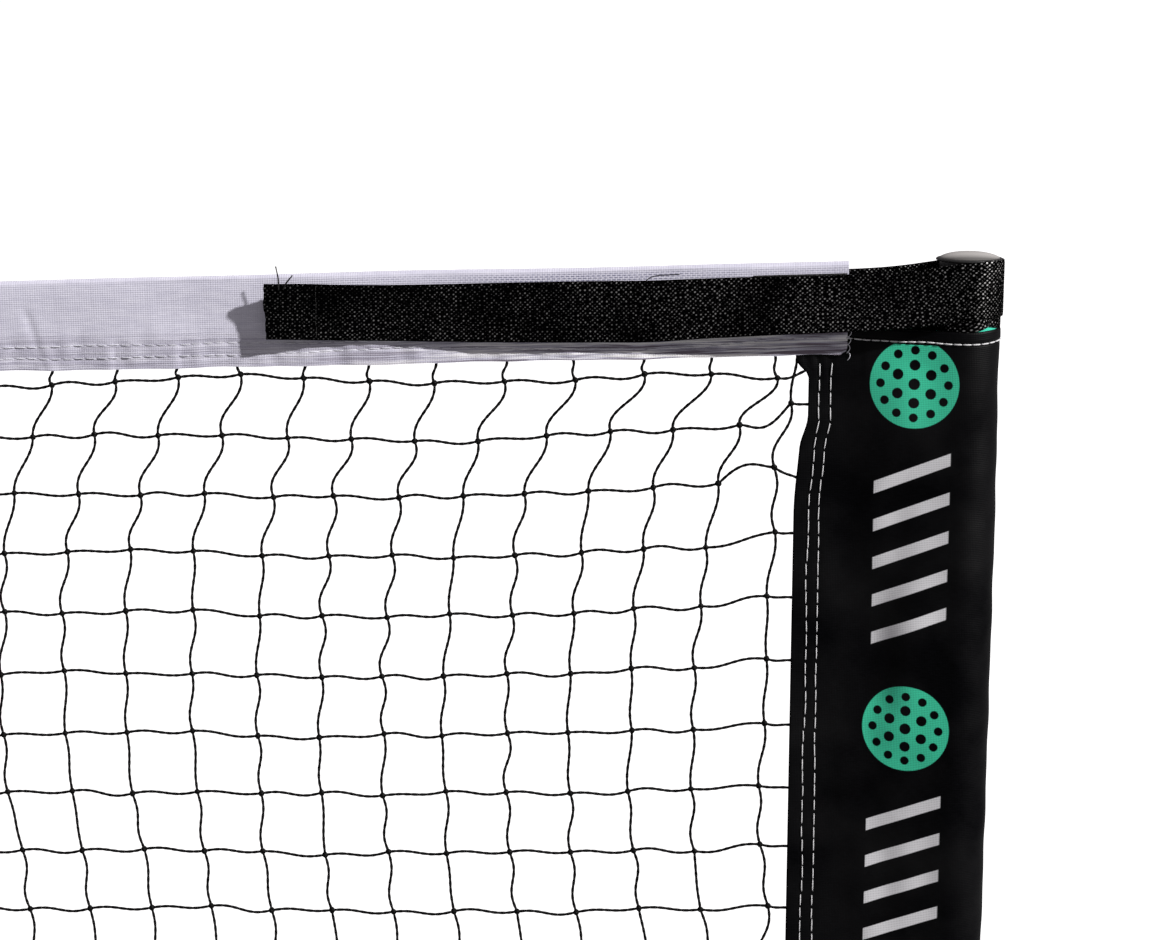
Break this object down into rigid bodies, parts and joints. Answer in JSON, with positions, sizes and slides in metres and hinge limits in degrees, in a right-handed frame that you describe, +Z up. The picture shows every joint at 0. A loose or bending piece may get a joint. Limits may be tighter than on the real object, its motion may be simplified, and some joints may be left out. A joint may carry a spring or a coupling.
{
  "type": "portable pickleball net",
  "caption": "Free-standing court net: knotted mesh with a white top band and printed end sleeves, strapped between two tube posts on a knock-down ground frame.",
  "frame": {"origin": "on the ground, under the middle of the net and between the front and rear feet", "axes": "+X along the net, +Y towards the rear, -Y the front with the strap ends, +Z up"},
  "size_m": [6.7476, 1.067, 0.9225],
  "materials": {
    "frame_tube": "satin",
    "spring_steel": "satin",
    "post_cap": "satin",
    "pole_plastic": "satin",
    "collar": "satin",
    "foot_rubber": "matte",
    "band": "satin",
    "cord": "matte",
    "cable": "satin",
    "webbing": "matte",
    "sleeve": "satin",
    "hook_tape": "matte"
  },
  "bodies": {
    "frame_and_net": {"centre_base": "frame_tube", "centre_pole_lower": "frame_tube", "right_base": "frame_tube", "right_post": "frame_tube", "right_rail_outer": "frame_tube", "right_rail_middle": "frame_tube", "right_rail_inner": "frame_tube", "right_post_cap": "post_cap", "right_post_collar": "collar", "right_sleeve": "sleeve", "right_top_strap_loop": "webbing", "right_lower_strap_loop": "webbing", "right_loop_pad": "hook_tape", "right_foot_cap_front": "foot_rubber", "right_foot_cap_rear": "foot_rubber", "left_base": "frame_tube", "left_post": "frame_tube", "left_rail_outer": "frame_tube", "left_rail_middle": "frame_tube", "left_rail_inner": "frame_tube", "left_post_cap": "post_cap", "left_post_collar": "collar", "left_sleeve": "sleeve", "left_top_strap_loop": "webbing", "left_lower_strap_loop": "webbing", "left_loop_pad": "hook_tape", "left_foot_cap_front": "foot_rubber", "left_foot_cap_rear": "foot_rubber", "centre_foot_cap_front": "foot_rubber", "centre_foot_cap_rear": "foot_rubber", "centre_strap": "webbing", "pole_pocket": "webbing", "bottom_binding": "webbing", "top_band": "band", "headline_cable": "cable", "netting": "cord"},
    "right_top_tail": {"right_top_strap_tail": "webbing", "right_hook_strip": "hook_tape"},
    "right_lower_tail": {"right_lower_strap_tail": "webbing"},
    "left_top_tail": {"left_top_strap_tail": "webbing", "left_hook_strip": "hook_tape"},
    "left_lower_tail": {"left_lower_strap_tail": "webbing"},
    "centre_pole_slider": {"centre_pole_upper": "frame_tube", "centre_pole_tip": "pole_plastic"},
    "centre_pole_lock": {"centre_pole_lock": "pole_plastic"},
    "right_post_snap_clip": {"right_post_snap_clip": "spring_steel"},
    "right_rail_snap_clip_1": {"right_rail_snap_clip_1": "spring_steel"},
    "right_rail_snap_clip_2": {"right_rail_snap_clip_2": "spring_steel"},
    "right_rail_snap_clip_3": {"right_rail_snap_clip_3": "spring_steel"},
    "right_rail_snap_clip_4": {"right_rail_snap_clip_4": "spring_steel"},
    "left_post_snap_clip": {"left_post_snap_clip": "spring_steel"},
    "left_rail_snap_clip_1": {"left_rail_snap_clip_1": "spring_steel"},
    "left_rail_snap_clip_2": {"left_rail_snap_clip_2": "spring_steel"},
    "left_rail_snap_clip_3": {"left_rail_snap_clip_3": "spring_steel"},
    "left_rail_snap_clip_4": {"left_rail_snap_clip_4": "spring_steel"},
    "centre_pole_snap_clip": {"centre_pole_snap_clip": "spring_steel"}
  },
  "joints": [
    {"name": "band_strap_right_peel", "type": "hinge", "parent": "frame_and_net", "child": "right_top_tail", "pos_m": [3.2867, -0.0062, 0.89], "axis": [0, 0, 1], "range_deg": [0, 120]},
    {"name": "lower_strap_right_peel", "type": "hinge", "parent": "frame_and_net", "child": "right_lower_tail", "pos_m": [3.2867, -0.0035, 0.175], "axis": [0, 0, 1], "range_deg": [0, 120]},
    {"name": "band_strap_left_peel", "type": "hinge", "parent": "frame_and_net", "child": "left_top_tail", "pos_m": [-3.2867, -0.0062, 0.89], "axis": [0, 0, -1], "range_deg": [0, 120]},
    {"name": "lower_strap_left_peel", "type": "hinge", "parent": "frame_and_net", "child": "left_lower_tail", "pos_m": [-3.2867, -0.0035, 0.175], "axis": [0, 0, -1], "range_deg": [0, 120]},
    {"name": "centre_lock_twist", "type": "hinge", "parent": "frame_and_net", "child": "centre_pole_lock", "pos_m": [0, 0.022, 0.52], "axis": [0, 0, 1], "range_deg": [0, 90]},
    {"name": "centre_pole_slide", "type": "slide", "parent": "frame_and_net", "child": "centre_pole_slider", "axis": [0, 0, 1], "range_m": [-0.1, 0]},
    {"name": "snap_right_post_press", "type": "slide", "parent": "frame_and_net", "child": "right_post_snap_clip", "axis": [0, 1, 0], "range_m": [0, 0.0045], "stiffness_N_per_m": 1200},
    {"name": "snap_right_rail_1_press", "type": "slide", "parent": "frame_and_net", "child": "right_rail_snap_clip_1", "axis": [0, 0, -1], "range_m": [0, 0.0045], "stiffness_N_per_m": 1200},
    {"name": "snap_right_rail_2_press", "type": "slide", "parent": "frame_and_net", "child": "right_rail_snap_clip_2", "axis": [0, 0, -1], "range_m": [0, 0.0045], "stiffness_N_per_m": 1200},
    {"name": "snap_right_rail_3_press", "type": "slide", "parent": "frame_and_net", "child": "right_rail_snap_clip_3", "axis": [0, 0, -1], "range_m": [0, 0.0045], "stiffness_N_per_m": 1200},
    {"name": "snap_right_rail_4_press", "type": "slide", "parent": "frame_and_net", "child": "right_rail_snap_clip_4", "axis": [0, 0, -1], "range_m": [0, 0.0045], "stiffness_N_per_m": 1200},
    {"name": "snap_left_post_press", "type": "slide", "parent": "frame_and_net", "child": "left_post_snap_clip", "axis": [0, 1, 0], "range_m": [0, 0.0045], "stiffness_N_per_m": 1200},
    {"name": "snap_left_rail_1_press", "type": "slide", "parent": "frame_and_net", "child": "left_rail_snap_clip_1", "axis": [0, 0, -1], "range_m": [0, 0.0045], "stiffness_N_per_m": 1200},
    {"name": "snap_left_rail_2_press", "type": "slide", "parent": "frame_and_net", "child": "left_rail_snap_clip_2", "axis": [0, 0, -1], "range_m": [0, 0.0045], "stiffness_N_per_m": 1200},
    {"name": "snap_left_rail_3_press", "type": "slide", "parent": "frame_and_net", "child": "left_rail_snap_clip_3", "axis": [0, 0, -1], "range_m": [0, 0.0045], "stiffness_N_per_m": 1200},
    {"name": "snap_left_rail_4_press", "type": "slide", "parent": "frame_and_net", "child": "left_rail_snap_clip_4", "axis": [0, 0, -1], "range_m": [0, 0.0045], "stiffness_N_per_m": 1200},
    {"name": "snap_centre_pole_press", "type": "slide", "parent": "frame_and_net", "child": "centre_pole_snap_clip", "axis": [0, -1, 0], "range_m": [0, 0.0045], "stiffness_N_per_m": 1200}
  ]
}
